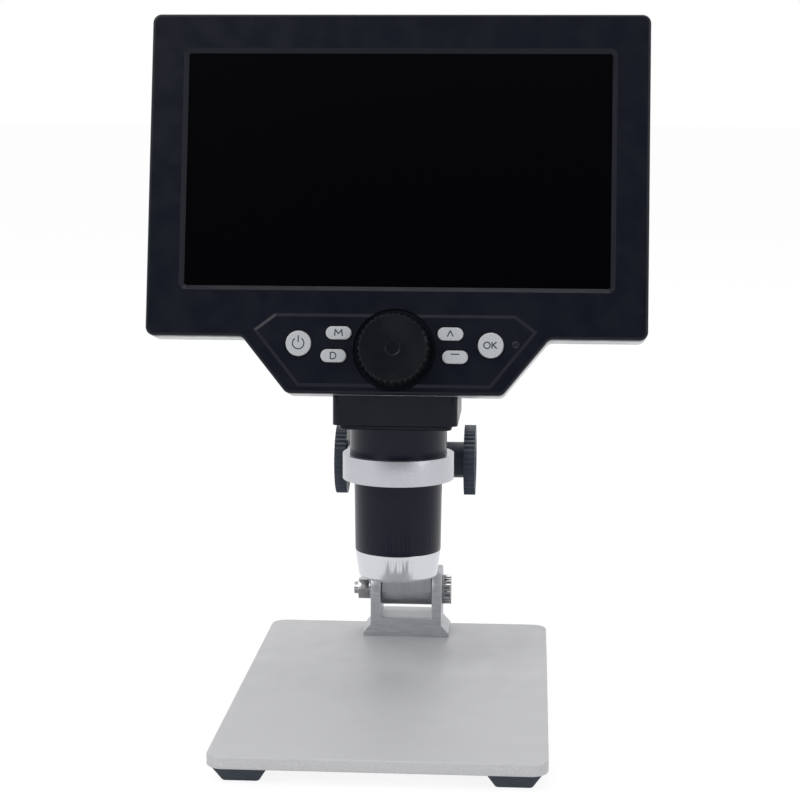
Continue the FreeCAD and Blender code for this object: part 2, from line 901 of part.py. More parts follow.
lean_cos = math.cos(math.radians(screen_lean))
focus_travel = focus_pitch_r * math.radians(focus_turn) / lean_cos
arm_y = barrel_y + carrier_arm_back
focus_depth = (arm_y - lean_point(0, 0, wheel_up).y) / lean_cos
focus_z = lean_point(0, focus_depth, wheel_up).z
arm_x0 = focus_pitch_r + tooth_root * focus_module
arm_z1 = focus_z + focus_travel + carrier_rack_margin


def make_lens_carrier():
    land_r = tube_bore_r - carrier_land_play
    body = rod(carrier_r, on_barrel(carrier_z0), on_barrel(carrier_z1))
    for z in (carrier_z0, carrier_z1 - carrier_land_h):
        body = body.fuse(rod(land_r, on_barrel(z), on_barrel(z + carrier_land_h)))
    ceiling = carrier_z1 - carrier_top_t
    body = body.cut(rod(carrier_r - carrier_wall, on_barrel(carrier_z0), on_barrel(ceiling)))
    body = body.cut(rod(carrier_hole_r, on_barrel(carrier_z0), on_barrel(carrier_z1)))
    across = (arm_y - carrier_arm_w / 2, arm_y + carrier_arm_w / 2)
    arm = box((arm_x0, arm_x0 + carrier_arm_t), across, (ceiling, arm_z1))
    reach = focus_travel / lean_cos + carrier_rack_margin + carrier_arm_w
    teeth = rack_outline(focus_module, focus_pressure, focus_backlash, wheel_up - reach,
                         wheel_up + reach, wheel_up)
    outline = [V(focus_pitch_r - h, 0, up) for h, up in teeth]
    outline += [V(arm_x0 + carrier_arm_t / 2, 0, teeth[-1][1]), V(arm_x0 + carrier_arm_t / 2, 0, teeth[0][1])]
    comb = lean(slab(outline, V(0, focus_depth - 2 * carrier_arm_w, 0), BACK * (4 * carrier_arm_w)))
    toothed_z0 = focus_z - focus_travel - carrier_rack_margin
    zone = box((0, arm_x0 + carrier_arm_gap), across, (toothed_z0, arm_z1))
    return body.fuse(arm).fuse(comb.common(zone)).removeSplitter()


def make_lens(rise):
    """A double convex lens that fills the carrier's bore, this far above the carrier's foot."""
    z = carrier_z0 + rise
    radius = carrier_r - carrier_wall - barrel_fit
    ball_r = (radius * radius + lens_bulge * lens_bulge) / (2 * lens_bulge)
    edge = rod(radius, on_barrel(z), on_barrel(z + lens_edge_t))
    lower = Part.makeSphere(ball_r, on_barrel(z - lens_bulge + ball_r))
    upper = Part.makeSphere(ball_r, on_barrel(z + lens_edge_t + lens_bulge - ball_r))
    reach = rod(radius, on_barrel(z - lens_bulge), on_barrel(z + lens_edge_t + lens_bulge))
    return edge.fuse(reach.common(lower).common(upper)).removeSplitter()


def make_sensor_board():
    board = rod(tube_r, on_barrel(tube_z1), on_barrel(tube_z1 + sensor_board_t))
    slot_x = (arm_x0 - sensor_slot_play, arm_x0 + carrier_arm_t + sensor_slot_play)
    slot_half = carrier_arm_w / 2 + sensor_slot_play
    slot = box(slot_x, (arm_y - slot_half, arm_y + slot_half), (tube_z1, tube_z1 + sensor_board_t))
    half = sensor_chip_w / 2
    chip = box((-half, half), (barrel_y - half, barrel_y + half), (tube_z1 - sensor_chip_t, tube_z1))
    return board.cut(slot).fuse(chip)


# The neck block and its cover

def neck_screw_places():
    """The four screws that hold the neck's cover, as (side, end, across, along Y)."""
    x = neck_w / 2 - neck_screw_inset
    y0 = neck_y0 + neck_screw_inset
    y1 = neck_y1 - neck_screw_inset
    return [(side, end, side * x, y1 if end > 0 else y0) for side in (-1, 1) for end in (-1, 1)]


def case_join_places():
    """The screws that hold the neck to the rear shell, as (across, up the face)."""
    x = neck_w / 2 - neck_screw_inset
    return [(side * x, up) for side in (-1, 1) for up in (join_low_up, join_high_up)]


def neck_hollow():
    """The space inside the neck block, behind the wall that backs on to the housing."""
    x = neck_w / 2 - neck_wall
    y = (neck_y0 + neck_wall, neck_y1 - neck_wall)
    hollow = box((-x, x), y, (neck_z0, neck_z1 - neck_wall))
    return hollow.cut(lean(housing_zone(case_depth + neck_wall, -neck_wall)))


def housing_zone(back, low):
    """Everything in front of a depth in the housing's frame, from a height up the face."""
    return box((-neck_w, neck_w), (-neck_w, back), (low, case_h))


def make_neck_block():
    half = neck_w / 2
    block = box((-half, half), (neck_y0, neck_y1), (neck_z0, neck_z1))
    block = round_edges(block, neck_corner_r, UP)
    block = round_face_edges(block, neck_top_r, neck_z1, UP)
    block = block.cut(neck_hollow()).cut(lean(housing_zone(case_depth, 0)))
    for side, end, x, y in neck_screw_places():
        across = sorted((x - side * neck_boss_r, side * (half - neck_wall / 2)))
        wall_y = neck_y1 - neck_wall / 2 if end > 0 else neck_y0 + neck_wall / 2
        along = sorted((y - end * neck_boss_r, wall_y))
        block = block.fuse(box(across, along, (neck_z0, neck_z0 + neck_boss_h)))
        block = block.cut(rod(m2_r + thread_gap, V(x, y, neck_z0), V(x, y, neck_z0 + neck_screw_len)))
    for x, up in case_join_places():
        end = V(x, case_depth + neck_boss_h, up)
        block = block.fuse(lean(rod(neck_boss_r, V(x, case_depth, up), end)))
        end = V(x, case_depth + neck_screw_len, up)
        block = block.cut(lean(rod(m2_r + thread_gap, V(x, case_depth, up), end)))
    hole = rod(focus_bush_r + thread_gap, V(0, case_depth, wheel_up),
               V(0, case_depth + neck_wall, wheel_up))
    return block.cut(lean(hole)).removeSplitter()


def make_neck_cover():
    half = neck_w / 2 - neck_cover_inset
    y = (neck_y0 + neck_cover_inset, neck_y1 - neck_cover_inset)
    z0 = neck_z0 - neck_cover_t
    cover = round_edges(box((-half, half), y, (z0, neck_z0)), neck_corner_r, UP)
    cover = round_face_edges(cover, neck_cover_edge_r, z0, UP)
    cover = cover.cut(rod(sleeve_r + barrel_fit, on_barrel(z0), on_barrel(neck_z0)))
    head_r = 2 * m2_r + small_head_gap
    for side, end, x, y in neck_screw_places():
        cover = cover.cut(rod(m2_r + thread_gap, V(x, y, z0), V(x, y, neck_z0)))
        cover = cover.cut(rod(head_r, V(x, y, z0), V(x, y, z0 + neck_screw_sink)))
    return cover


def make_neck_screws():
    seat_z = neck_z0 - neck_cover_t + neck_screw_sink
    length = neck_z0 - seat_z + neck_screw_len - hole_spare
    head_r = 2 * m2_r
    seats = [V(x, y, seat_z) for side, end, x, y in neck_screw_places()]
    screws = [screw(m2_r, head_r, small_head_h, length, seat, UP) for seat in seats]
    length = case_wall + neck_screw_len - hole_spare
    for x, up in case_join_places():
        seat = V(x, case_depth - case_wall, up)
        screws.append(lean(screw(m2_r, head_r, small_head_h, length, seat, BACK)))
    return Part.makeCompound(screws)


# The screen housing: bezel, rear shell, display and boards

def case_block(inset, front, back):
    """The housing's outline drawn in by an inset and swept over a depth, corners rounded."""
    side = case_w / 2
    right = [(side, case_h), (side, case_shoulder), (chin_top_w / 2, case_shoulder), (chin_bottom_w / 2, 0)]
    left = [(-x, up) for x, up in reversed(right)]
    corners = [V(x, front, up) for x, up in right + left]
    face = Part.Face(Part.makePolygon(corners + corners[:1]))
    if inset:
        face = face.makeOffset2D(-inset, 2)
    block = face.extrude(BACK * (back - front))
    middle = (chin_top_w + case_w) / 4

    def inner_corner(p):
        return abs(p.z - case_shoulder) < case_corner_r + inset and abs(p.x) < middle

    block = round_edges(block, case_corner_r - inset / 2, BACK, lambda p: not inner_corner(p))
    return round_edges(block, chin_corner_r + inset, BACK, inner_corner)


def window_box(width, height, front, back):
    """A plain block about the window's middle, between two depths."""
    up = (window_mid - height / 2, window_mid + height / 2)
    return box((-width / 2, width / 2), (front, back), up)


def face_rect(width, height, corner_r, depth):
    """A rounded rectangle about the window's middle, as a wire at one depth."""
    block = round_edges(window_box(width, height, depth, depth + case_wall), corner_r, BACK)
    return min(block.Faces, key=lambda face: face.CenterOfMass.y).OuterWire


def relief_wire(inset, depth):
    """The control field's outline, drawn in evenly by an inset, at one depth."""
    def half_width(up):
        grow = (chin_top_w - chin_bottom_w) / case_shoulder
        return (chin_bottom_w + grow * up) / 2 - relief_side_margin
    wide = half_width(relief_shoulder)
    right = [(wide - relief_corner_cut, relief_top), (wide, relief_shoulder),
             (half_width(relief_bottom), relief_bottom)]
    corners = [(x, up) for x, up in right] + [(-x, up) for x, up in reversed(right)]
    face = Part.Face(Part.makePolygon([V(x, depth, up) for x, up in corners + corners[:1]]))
    return face.makeOffset2D(-inset, 2).OuterWire if inset else face.OuterWire


def pill(width, height, middle, front, back):
    """A round-ended bar that points into the housing."""
    reach = (width - height) / 2
    x, up = middle
    r = height / 2
    left = rod(r, V(x - reach, front, up), V(x - reach, back, up))
    right = rod(r, V(x + reach, front, up), V(x + reach, back, up))
    core = box((x - reach, x + reach), (front, back), (up - r, up + r))
    return left.fuse(right).fuse(core).removeSplitter()


BUTTONS = {
    "button_power": (-round_button_x, round_button_up, True),
    "button_ok": (round_button_x, round_button_up, True),
    "button_menu": (-upper_pill_x, upper_pill_up, False),
    "button_delete": (-lower_pill_x, lower_pill_up, False),
    "button_up": (upper_pill_x, upper_pill_up, False),
    "button_down": (lower_pill_x, lower_pill_up, False),
}


def button_bar(name, grow, front, back):
    """A button's own outline, grown by an amount, between two depths."""
    x, up, is_round = BUTTONS[name]
    if is_round:
        return rod(button_r + grow, V(x, front, up), V(x, back, up))
    return pill(pill_w + 2 * grow, pill_h + 2 * grow, (x, up), front, back)


def key_posts():
    """Where the key board's posts stand behind the chin, as (across, up)."""
    low = [(side * key_post_low_x, key_post_low_up) for side in (-1, 1)]
    return low + [(side * key_post_high_x, key_post_high_up) for side in (-1, 1)]


def case_screw_places():
    """The six screws that close the housing, as (across, up)."""
    x = case_w / 2 - case_screw_inset
    high = case_h - case_screw_inset
    low = case_shoulder + case_screw_inset
    corners = [(side * x, up) for side in (-1, 1) for up in (low, high)]
    return corners + [(side * case_screw_mid, high) for side in (-1, 1)]


post_meet = bezel_depth + case_post_meet


def make_front_bezel():
    bezel = round_face_edges(case_block(0, 0, bezel_depth), bezel_edge_r, 0, BACK)
    bezel = bezel.cut(case_block(case_wall, case_wall, bezel_depth))
    field = Part.makeLoft([relief_wire(0, 0), relief_wire(relief_slope, -relief_t)], True, True)
    bezel = bezel.fuse(field)
    grown = window_corner_r + window_bevel
    wide = face_rect(window_w + 2 * window_bevel, window_h + 2 * window_bevel, grown, 0)
    narrow = face_rect(window_w, window_h, window_corner_r, window_bevel_depth)
    bezel = bezel.cut(Part.makeLoft([wide, narrow], True, True))
    through = Part.Face(face_rect(window_w, window_h, window_corner_r, 0))
    bezel = bezel.cut(through.extrude(BACK * case_wall))
    for name in BUTTONS:
        bezel = bezel.cut(button_bar(name, button_gap, -2 * relief_t, 2 * case_wall))
    recess_r = wheel_r + wheel_recess_gap
    bezel = bezel.cut(rod(recess_r, V(0, -2 * relief_t, wheel_up), V(0, wheel_floor, wheel_up)))
    bush_end = V(0, case_wall, wheel_up)
    bezel = bezel.cut(rod(focus_bush_r + thread_gap, V(0, 0, wheel_up), bush_end))
    lamp = V(indicator_x, -2 * relief_t, indicator_up)
    bezel = bezel.cut(rod(indicator_r + thread_gap, lamp, V(indicator_x, case_wall, indicator_up)))
    for x, up in key_posts():
        bezel = bezel.fuse(rod(key_post_r, V(x, case_wall - post_sink, up), V(x, key_board_depth, up)))
    for x, up in case_screw_places():
        end = V(x, post_meet, up)
        bezel = bezel.fuse(rod(case_post_r, V(x, case_wall - post_sink, up), end))
        bezel = bezel.cut(rod(m2_r + thread_gap, V(x, case_wall, up), end))
    return lean(bezel.removeSplitter())


board_depth = case_depth - case_wall - board_stand - board_t
battery_x = (battery_side - case_w / 2, battery_side - case_w / 2 + battery_w)
board_x = (battery_x[1] + board_gap, case_w / 2 - board_side)
board_up = (case_shoulder + board_rise, case_h - board_top)
card_up = case_shoulder + card_rise
usb_up = case_shoulder + usb_rise
socket_mid = (bezel_depth + case_depth - case_wall) / 2


def board_posts():
    """Where the main board's posts stand, as (across, up)."""
    across = (board_x[0] + board_post_inset, board_x[1] - board_post_inset)
    return [(x, up) for x in across for up in (board_up[0] + board_post_inset, board_up[1] - board_post_inset)]


def side_block(width, thick, length, up, from_edge):
    """A flat block at the left side of the housing, in the middle of the shell's depth."""
    x0 = from_edge - case_w / 2
    y = (socket_mid - thick / 2, socket_mid + thick / 2)
    return box((x0, x0 + length), y, (up - width / 2, up + width / 2))


def make_rear_shell():
    shell = round_face_edges(case_block(0, bezel_depth, case_depth), shell_edge_r, case_depth, BACK)
    shell = shell.cut(case_block(case_wall, bezel_depth, case_depth - case_wall))
    inside = case_depth - case_wall
    for x, up in case_screw_places():
        shell = shell.fuse(rod(case_post_r, V(x, post_meet, up), V(x, inside + post_sink, up)))
        shell = shell.cut(rod(m2_r + thread_gap, V(x, post_meet, up), V(x, case_depth, up)))
        shell = shell.cut(rod(2 * m2_r, V(x, case_depth - m2_r, up), V(x, case_depth, up)))
    for x, up in board_posts():
        shell = shell.fuse(rod(board_post_r, V(x, board_depth + board_t, up), V(x, inside + post_sink, up)))
    for x, up in case_join_places():
        shell = shell.cut(rod(m2_r + thread_gap, V(x, inside, up), V(x, case_depth, up)))
    shell = shell.cut(rod(focus_bush_r + thread_gap, V(0, inside, wheel_up), V(0, case_depth, wheel_up)))
    slot_up = wheel_up - cable_slot_drop
    slot = (slot_up - cable_slot_h / 2, slot_up + cable_slot_h / 2)
    shell = shell.cut(box((-cable_slot_w / 2, cable_slot_w / 2), (inside, case_depth), slot))
    for width, thick, up in ((usb_w, usb_t, usb_up), (card_w, card_t, card_up)):
        grown = 2 * socket_play
        shell = shell.cut(side_block(width + grown, thick + grown, case_wall, up, 0))
    return lean(shell.removeSplitter())


def make_socket(width, thick, length, up):
    """A metal socket that opens through the housing's left side."""
    body = side_block(width, thick, length, up, socket_recess)
    inner_w = width - 2 * socket_wall
    inner_t = thick - 2 * socket_wall
    return lean(body.cut(side_block(inner_w, inner_t, length - socket_stop, up, socket_recess)))


def make_port_board():
    """A narrow board along the left wall that carries the two sockets."""
    x0 = case_wall + socket_recess - case_w / 2
    x = (x0, x0 + port_board_w)
    y0 = socket_mid + usb_t / 2
    low = card_up - card_w
    high = usb_up + usb_w
    board = box(x, (y0, y0 + board_t), (low, high))
    packer = box(x, (socket_mid + card_t / 2, y0), (card_up - card_w / 2, card_up + card_w / 2))
    back = (y0 + board_t, case_depth - case_wall)
    lower_foot = box(x, back, (low, low + port_board_foot))
    upper_foot = box(x, back, (high - port_board_foot, high))
    return lean(board.fuse(packer).fuse(lower_foot).fuse(upper_foot).removeSplitter())


def make_display_glass():
    wire = face_rect(window_w + 2 * glass_overlap, window_h + 2 * glass_overlap, window_corner_r, case_wall)
    return lean(Part.Face(wire).extrude(BACK * glass_t))


def make_lcd_panel():
    return lean(window_box(lcd_w, lcd_h, lcd_depth, lcd_depth + lcd_t))


def make_lcd_frame():
    back = lcd_depth + lcd_t
    frame = window_box(lcd_w + 2 * lcd_frame_t, lcd_h + 2 * lcd_frame_t, lcd_depth, back + lcd_frame_t)
    frame = frame.cut(window_box(lcd_w, lcd_h, lcd_depth, back))
    rest_w = lcd_w - 2 * lcd_frame_lip
    rest_h = lcd_h - 2 * lcd_frame_lip
    return lean(frame.cut(window_box(rest_w, rest_h, back, back + lcd_frame_t)))


def make_main_board():
    return lean(box(board_x, (board_depth, board_depth + board_t), board_up))


def make_board_parts():
    """The larger chips, the shield can, the flat cable socket and the coils on the main board."""
    def part(x, up, width, height, thick):
        return box((x, x + width), (board_depth - thick, board_depth), (up, up + height))
    left = board_x[0] + chip_margin
    low = board_up[0] + chip_margin
    second = left + chip_w + chip_margin
    upper = low + chip_w + chip_margin
    parts = [part(left, low, chip_w, chip_w, chip_t), part(second, low, chip_w, chip_w, chip_t)]
    parts.append(part(left, upper, shield_w, shield_h, shield_t))
    parts.append(part(second, upper, cable_socket_w, cable_socket_h, shield_t))
    for i in range(coil_count):
        parts.append(part(second + coil_pitch * i, upper + shield_h, coil_w, coil_w, shield_t))
    return lean(Part.makeCompound(parts))


def make_battery_pack():
    back = case_depth - case_wall - battery_gap
    low = case_shoulder + battery_rise
    pack = box(battery_x, (back - battery_t, back), (low, low + battery_h))
    return lean(round_edges(pack, battery_edge_r, UP))


def make_key_board():
    right = [(key_board_w / 2, key_board_top), (key_board_w / 2, key_board_knee)]
    right.append((key_board_low_w / 2, key_board_bottom))
    outline = right + [(-x, up) for x, up in reversed(right)]
    points = [V(x, 0, up) for x, up in outline]
    board = slab(points, V(0, key_board_depth, 0), BACK * key_board_t)
    front = V(0, key_board_depth, wheel_up)
    hole = rod(focus_shaft_r + key_board_hole_gap, front, front.add(BACK * key_board_t))
    return lean(board.cut(hole))


def make_key_switches():
    half = key_switch_w / 2
    front = button_back + button_travel + key_switch_gap
    switches = []
    for x, up, is_round in BUTTONS.values():
        switches.append(box((x - half, x + half), (front, key_board_depth), (up - half, up + half)))
    return lean(Part.makeCompound(switches))


def make_indicator():
    front = V(indicator_x, -relief_t - indicator_proud, indicator_up)
    return lean(rod(indicator_r, front, V(indicator_x, key_board_depth, indicator_up)))


def make_button(name):
    front = -relief_t - button_proud
    cap = round_face_edges(button_bar(name, 0, front, button_back), button_edge_r, front, BACK)
    return lean(cap.fuse(button_bar(name, button_flange, button_back - button_flange_t, button_back)))


def make_case_screws():
    screws = []
    for x, up in case_screw_places():
        seat = V(x, case_depth - m2_r, up)
        length = case_depth - m2_r - case_wall - hole_spare
        screws.append(lean(screw(m2_r, 2 * m2_r - thread_gap, m2_r, length, seat, BACK * -1)))
    return Part.makeCompound(screws)


# The focus wheel and its shaft

def make_focus_wheel():
    def ring(radius, depth):
        outline = ridged_outline(radius, ridge_depth, wheel_ridge_count)
        points = [V(p.x, depth, p.y + wheel_up) for p in outline]
        return Part.makePolygon(points + points[:1])
    body = Part.makeLoft([ring(wheel_r, wheel_base), ring(wheel_face_r, wheel_front)], True, True)
    dimple_end = V(0, wheel_front + wheel_dimple_depth, wheel_up)
    body = body.cut(rod(wheel_dimple_r, V(0, wheel_front, wheel_up), dimple_end))
    bore_end = V(0, wheel_front + wheel_web, wheel_up)
    return lean(body.cut(rod(focus_shaft_r + thread_gap, bore_end, V(0, wheel_base, wheel_up))))


def make_focus_shaft():
    start = V(0, wheel_front + wheel_web, wheel_up)
    gear_end = focus_depth + focus_pinion_w / 2
    shaft = rod(focus_shaft_r, start, V(0, gear_end + focus_shaft_tail, wheel_up))
    outline = gear_outline(focus_module, focus_teeth, focus_pressure, focus_backlash)
    points = [V(p.x, 0, p.y) for p in outline]
    teeth = slab(points, V(0, gear_end, wheel_up), BACK * -focus_pinion_w)
    return lean(shaft.fuse(teeth))


def make_focus_bushes():
    bushes = []
    front_span = (wheel_floor, case_wall + focus_bush_out)
    back_span = (case_depth - case_wall, case_depth + neck_wall)
    for front, back in (front_span, back_span):
        start = V(0, front, wheel_up)
        end = V(0, back, wheel_up)
        bush = rod(focus_bush_r, start, end).cut(rod(focus_shaft_r + running_play, start, end))
        bushes.append(lean(bush))
    return Part.makeCompound(bushes)


def make_nodes():
    """Every piece of the microscope under its own name."""
    nodes = {
        "base_plate": make_base_plate(),
        "rubber_feet": make_rubber_feet(),
        "hinge_bracket": make_hinge_bracket(),
        "bracket_screws": make_bracket_screws(),
        "hinge_bolt": make_hinge_bolt(),
        "hinge_washer": make_hinge_washer(),
        "hinge_nut": make_hinge_nut(),
        "column_post": make_column_post(),
        "column_rack": make_column_rack(),
        "rack_screws": make_rack_screws(),
        "column_cap": make_column_cap(),
        "cap_screw": make_cap_screw(),
        "carriage_block": make_carriage_block(),
        "carriage_gib": make_carriage_gib(),
        "gib_screws": make_gib_screws(),
        "pinion_bush": make_pinion_bush(),
        "pinion_shaft": make_pinion_shaft(),
        "knob_left": make_hand_knob(-1),
        "knob_right": make_hand_knob(1),
        "knob_screws": make_knob_screws(),
        "ring_clamp": make_ring_clamp(),
        "arm_screws": make_arm_screws(),
        "clamp_screw": make_clamp_screw(),
        "barrel_sleeve": make_barrel_sleeve(),
        "lower_tube": make_lower_tube(),
        "nose_cone": make_nose_cone(),
        "light_window": make_light_window(),
        "light_board": make_light_board(),
        "light_leds": make_light_leds(),
        "lens_carrier": make_lens_carrier(),
        "front_lens": make_lens(front_lens_rise),
        "rear_lens": make_lens(rear_lens_rise),
        "sensor_board": make_sensor_board(),
        "neck_block": make_neck_block(),
        "neck_cover": make_neck_cover(),
        "neck_screws": make_neck_screws(),
        "front_bezel": make_front_bezel(),
        "rear_shell": make_rear_shell(),
        "display_glass": make_display_glass(),
        "lcd_panel": make_lcd_panel(),
        "lcd_frame": make_lcd_frame(),
        "main_board": make_main_board(),
        "board_parts": make_board_parts(),
        "battery_pack": make_battery_pack(),
        "port_board": make_port_board(),
        "usb_socket": make_socket(usb_w, usb_t, usb_len, usb_up),
        "card_socket": make_socket(card_w, card_t, card_len, card_up),
        "key_board": make_key_board(),
        "key_switches": make_key_switches(),
        "indicator_light": make_indicator(),
        "case_screws": make_case_screws(),
        "focus_wheel": make_focus_wheel(),
        "focus_shaft": make_focus_shaft(),
        "focus_bushes": make_focus_bushes(),
    }
    for name in BUTTONS:
        nodes[name] = make_button(name)
    return nodes


os.makedirs("parts", exist_ok=True)
for name, shape in make_nodes().items():
    shape.exportStep("parts/" + name + ".step")
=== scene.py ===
import json
import math

import bmesh
import bpy
from mathutils import Matrix, Vector


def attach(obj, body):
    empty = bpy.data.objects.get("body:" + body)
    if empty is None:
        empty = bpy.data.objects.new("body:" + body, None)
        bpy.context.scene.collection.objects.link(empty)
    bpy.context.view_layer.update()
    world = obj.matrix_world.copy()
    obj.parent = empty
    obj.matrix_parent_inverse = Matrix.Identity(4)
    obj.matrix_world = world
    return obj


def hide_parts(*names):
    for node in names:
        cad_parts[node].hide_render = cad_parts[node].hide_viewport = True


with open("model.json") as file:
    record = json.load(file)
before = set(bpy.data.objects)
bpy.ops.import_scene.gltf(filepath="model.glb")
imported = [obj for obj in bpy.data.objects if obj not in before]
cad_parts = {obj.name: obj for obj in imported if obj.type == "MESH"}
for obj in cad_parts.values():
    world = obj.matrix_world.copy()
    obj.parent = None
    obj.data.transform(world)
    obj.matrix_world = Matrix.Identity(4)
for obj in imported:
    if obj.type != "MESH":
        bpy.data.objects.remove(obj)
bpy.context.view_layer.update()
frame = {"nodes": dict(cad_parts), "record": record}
cad = frame["nodes"]
mm = 0.001


# Camera: it stands 0.73 m in front of the plate, a little right of its middle, and looks
# slightly down through a long lens.

eye = Vector((50.1, -728.5, 224.5)) * mm
film_width, focal_length = 36, 90
turn, dip, roll = (math.radians(a) for a in (-3.8, 8.32, 0.22))
right = Vector((math.cos(turn), -math.sin(turn), 0))
level = Vector((math.sin(turn), math.cos(turn), 0))
plumb = Vector((0, 0, 1))
ahead = level * math.cos(dip) - plumb * math.sin(dip)
above = plumb * math.cos(dip) + level * math.sin(dip)
side = right * math.cos(roll) + above * math.sin(roll)
above = above * math.cos(roll) - right * math.sin(roll)
camera = bpy.data.objects.new("camera", bpy.data.cameras.new("camera"))
camera.data.sensor_width = film_width
camera.data.lens = focal_length
camera.matrix_world = Matrix.Translation(eye) @ Matrix((side, above, -ahead)).transposed().to_4x4()
bpy.context.scene.collection.objects.link(camera)
bpy.context.scene.camera = camera
bpy.context.scene.view_settings.view_transform = "Standard"


# Light: a soft white room that is dim behind the viewer, one large lamp up to the left, a
# weaker one to the right and one above.

def mixed(tree, factor, first, second):
    """A colour node that goes from the first colour to the second as the factor rises."""
    mix = tree.nodes.new("ShaderNodeMix")
    mix.data_type = "RGBA"
    for socket, value in ((mix.inputs[0], factor), (mix.inputs[6], first), (mix.inputs[7], second)):
        if isinstance(value, bpy.types.NodeSocket):
            tree.links.new(value, socket)
        else:
            socket.default_value = value
    return mix.outputs[2]


def ranged(tree, value, low, high, to_low, to_high):
    """A value moved smoothly from one range to another."""
    node = tree.nodes.new("ShaderNodeMapRange")
    node.interpolation_type = "SMOOTHSTEP"
    tree.links.new(value, node.inputs[0])
    for index, number in enumerate((low, high, to_low, to_high), start=1):
        node.inputs[index].default_value = number
    return node.outputs[0]


room_grey = (0.56, 0.565, 0.575, 1)
room_white = (1, 1, 1, 1)
room_dim = (0.05, 0.055, 0.075, 1)
world = bpy.data.worlds.new("studio")
world.use_nodes = True
bpy.context.scene.world = world
room = world.node_tree
seen = room.nodes.new("ShaderNodeLightPath")
way = room.nodes.new("ShaderNodeTexCoord")
heading = room.nodes.new("ShaderNodeSeparateXYZ")
room.links.new(way.outputs["Generated"], heading.inputs[0])
beside_viewer = ranged(room, heading.outputs["Y"], -0.99, -0.6, 0, 1)
mirror_view = mixed(room, beside_viewer, room_dim, room_white)
glossy = mixed(room, seen.outputs["Is Glossy Ray"], room_grey, mirror_view)
plain = mixed(room, seen.outputs["Is Camera Ray"], glossy, room_white)
room.links.new(plain, room.nodes["Background"].inputs["Color"])

lamp_target = Vector((0, 0.02, 0.13))
for name, place, size, power in (
    ("key_lamp", (-0.9, -0.9, 1.3), 1.0, 10.0),
    ("fill_lamp", (1.2, -0.9, 0.7), 0.9, 3.5),
    ("top_lamp", (0.1, 0.4, 1.5), 1.1, 6.0),
):
    lamp = bpy.data.objects.new(name, bpy.data.lights.new(name, "AREA"))
    lamp.data.shape = "DISK"
    lamp.data.size = size
    lamp.data.energy = power
    lamp.location = place
    lamp.rotation_euler = (lamp_target - Vector(place)).to_track_quat("-Z", "Y").to_euler()
    bpy.context.scene.collection.objects.link(lamp)


# Table: a plain white sheet that the microscope stands on. It runs so far back that no
# edge shows. To the eye and in polished metal it is white, with a pale shadow.

reach = 25.0
sheet_white = (0.93, 0.93, 0.93, 1)
glow_strength, glow_share = 1.08, 0.82
sheet = bpy.data.meshes.new("table")
sheet.from_pydata([(-reach, -reach, 0), (reach, -reach, 0), (reach, reach, 0), (-reach, reach, 0)],
                  [], [(0, 1, 2, 3)])
table = bpy.data.objects.new("table", sheet)
bpy.context.scene.collection.objects.link(table)
white = bpy.data.materials.new("table_white")
white.use_nodes = True
tree = white.node_tree
matt = tree.nodes.new("ShaderNodeBsdfDiffuse")
matt.inputs["Color"].default_value = sheet_white
glow = tree.nodes.new("ShaderNodeEmission")
path = tree.nodes.new("ShaderNodeLightPath")
looks = [path.outputs[n] for n in ("Is Camera Ray", "Is Glossy Ray", "Is Transmission Ray")]
either = looks[0]
for look in looks[1:]:
    largest = tree.nodes.new("ShaderNodeMath")
    largest.operation = "MAXIMUM"
    tree.links.new(either, largest.inputs[0])
    tree.links.new(look, largest.inputs[1])
    either = largest.outputs[0]
glow.inputs["Strength"].default_value = glow_strength
share = ranged(tree, either, 0, 1, 0, glow_share)
blend = tree.nodes.new("ShaderNodeMixShader")
tree.links.new(share, blend.inputs[0])
tree.links.new(matt.outputs[0], blend.inputs[1])
tree.links.new(glow.outputs[0], blend.inputs[2])
tree.links.new(blend.outputs[0], tree.nodes["Material Output"].inputs["Surface"])
sheet.materials.append(white)


# Base plate: a flat metal slab that everything stands on, sand-blasted and lacquered satin
# silver. Its upright corners are rounded and its top edge is broken.

def ink(red, green, blue):
    """A colour as it looks on a screen, given to a shader."""
    parts = [c / 255 for c in (red, green, blue)]
    return tuple(c / 12.92 if c <= 0.04045 else ((c + 0.055) / 1.055) ** 2.4 for c in parts) + (1,)


